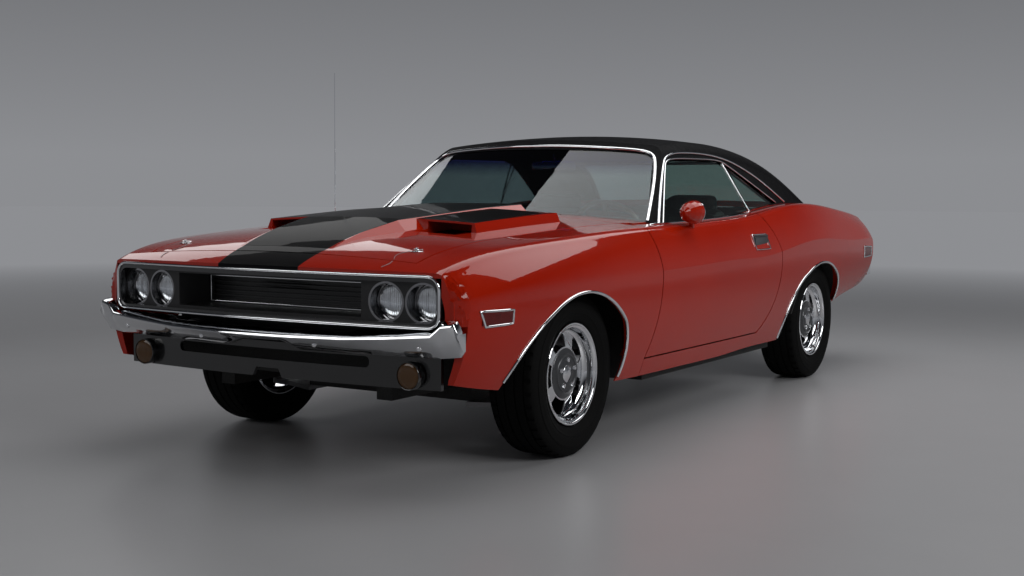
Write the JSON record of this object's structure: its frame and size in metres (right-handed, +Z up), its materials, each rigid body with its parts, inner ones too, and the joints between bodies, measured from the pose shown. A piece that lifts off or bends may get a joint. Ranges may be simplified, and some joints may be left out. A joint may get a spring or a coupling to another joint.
{
  "type": "muscle car",
  "caption": "Two-door hardtop muscle car with a scooped hood, vinyl roof and steel wheels; doors, hood, trunk lid, steering and wheels move.",
  "frame": {"origin": "on the ground, at the middle of the overall box", "axes": "+X to the car's left, +Y to its rear, +Z up; the nose points to -Y"},
  "size_m": [1.9336, 4.8588, 1.623],
  "materials": {
    "body_paint": "gloss",
    "vinyl": "satin",
    "chrome": "polished",
    "black_paint": "satin",
    "window_glass": "polished",
    "lamp_glass": "polished",
    "red_lens": "gloss",
    "tire_rubber": "matte",
    "interior": "satin",
    "wood_rim": "satin",
    "bare_steel": "satin",
    "engine_iron": "satin"
  },
  "bodies": {
    "body": {"fender_left": "body_paint", "fender_right": "body_paint", "quarter_left": "body_paint", "quarter_right": "body_paint", "header_panel": "body_paint", "front_valance": "body_paint", "cowl_panel": "body_paint", "upper_rear_panel": "body_paint", "roof": "vinyl", "grille_surround": "chrome", "front_bumper": "chrome", "rear_bumper": "chrome", "antenna": "chrome", "grille": "black_paint", "front_frame": "black_paint", "firewall": "black_paint", "floor_pan": "black_paint", "rear_floor": "black_paint", "tail_panel": "black_paint", "windshield": "window_glass", "rear_window": "window_glass", "quarter_glass": "window_glass", "headlamps": "lamp_glass", "tail_lamps": "red_lens", "marker_lamps": "red_lens", "dashboard": "interior", "front_seats": "interior", "rear_seat": "interior", "steering_column": "interior", "control_arms": "bare_steel", "driveline": "bare_steel", "rear_axle": "bare_steel", "fuel_tank": "bare_steel", "exhaust": "bare_steel", "engine_block": "engine_iron"},
    "hood": {"hood": "body_paint"},
    "trunk_lid": {"trunk_lid": "body_paint"},
    "door_left": {"door_left": "body_paint", "door_glass_left": "window_glass", "door_mirror": "body_paint"},
    "door_right": {"door_right": "body_paint", "door_glass_right": "window_glass"},
    "steering_wheel": {"steering_wheel": "wood_rim"},
    "knuckle_left": {"knuckle_left": "bare_steel"},
    "knuckle_right": {"knuckle_right": "bare_steel"},
    "wheel_front_left": {"wheel_front_left": "chrome", "tire_front_left": "tire_rubber"},
    "wheel_front_right": {"wheel_front_right": "chrome", "tire_front_right": "tire_rubber"},
    "wheel_rear_left": {"wheel_rear_left": "chrome", "tire_rear_left": "tire_rubber"},
    "wheel_rear_right": {"wheel_rear_right": "chrome", "tire_rear_right": "tire_rubber"}
  },
  "joints": [
    {"name": "hood_hinge", "type": "hinge", "parent": "body", "child": "hood", "pos_m": [0, -0.8395, 0.957], "axis": [-1, 0, 0], "range_deg": [0, 55]},
    {"name": "trunk_hinge", "type": "hinge", "parent": "body", "child": "trunk_lid", "pos_m": [0, 1.6055, 0.996], "axis": [1, 0, 0], "range_deg": [0, 70]},
    {"name": "door_left_hinge", "type": "hinge", "parent": "body", "child": "door_left", "pos_m": [0.946, -0.9335, 0.6], "axis": [0, 0, -1], "range_deg": [0, 65]},
    {"name": "door_right_hinge", "type": "hinge", "parent": "body", "child": "door_right", "pos_m": [-0.946, -0.9335, 0.6], "axis": [0, 0, 1], "range_deg": [0, 65]},
    {"name": "steer_left", "type": "hinge", "parent": "body", "child": "knuckle_left", "pos_m": [0.685, -1.4825, 0.332], "axis": [0, 0, 1], "range_deg": [-33, 33]},
    {"name": "steer_right", "type": "hinge", "parent": "body", "child": "knuckle_right", "pos_m": [-0.685, -1.4825, 0.332], "axis": [0, 0, 1], "range_deg": [-33, 33]},
    {"name": "steering_wheel_turn", "type": "hinge", "parent": "body", "child": "steering_wheel", "pos_m": [0.38, -0.2525, 0.83], "axis": [0, 0.9135, 0.4067], "range_deg": [-530, 530]},
    {"name": "spin_front_left", "type": "hinge", "parent": "knuckle_left", "child": "wheel_front_left", "pos_m": [0.758, -1.4825, 0.332], "axis": [1, 0, 0], "continuous": true},
    {"name": "spin_front_right", "type": "hinge", "parent": "knuckle_right", "child": "wheel_front_right", "pos_m": [-0.758, -1.4825, 0.332], "axis": [1, 0, 0], "continuous": true},
    {"name": "spin_rear_left", "type": "hinge", "parent": "body", "child": "wheel_rear_left", "pos_m": [0.771, 1.3115, 0.332], "axis": [1, 0, 0], "continuous": true},
    {"name": "spin_rear_right", "type": "hinge", "parent": "body", "child": "wheel_rear_right", "pos_m": [-0.771, 1.3115, 0.332], "axis": [1, 0, 0], "continuous": true}
  ],
  "couplings": [
    {"joint": "steer_right", "follows": "steer_left", "ratio": 1},
    {"joint": "steering_wheel_turn", "follows": "steer_left", "ratio": 16}
  ]
}
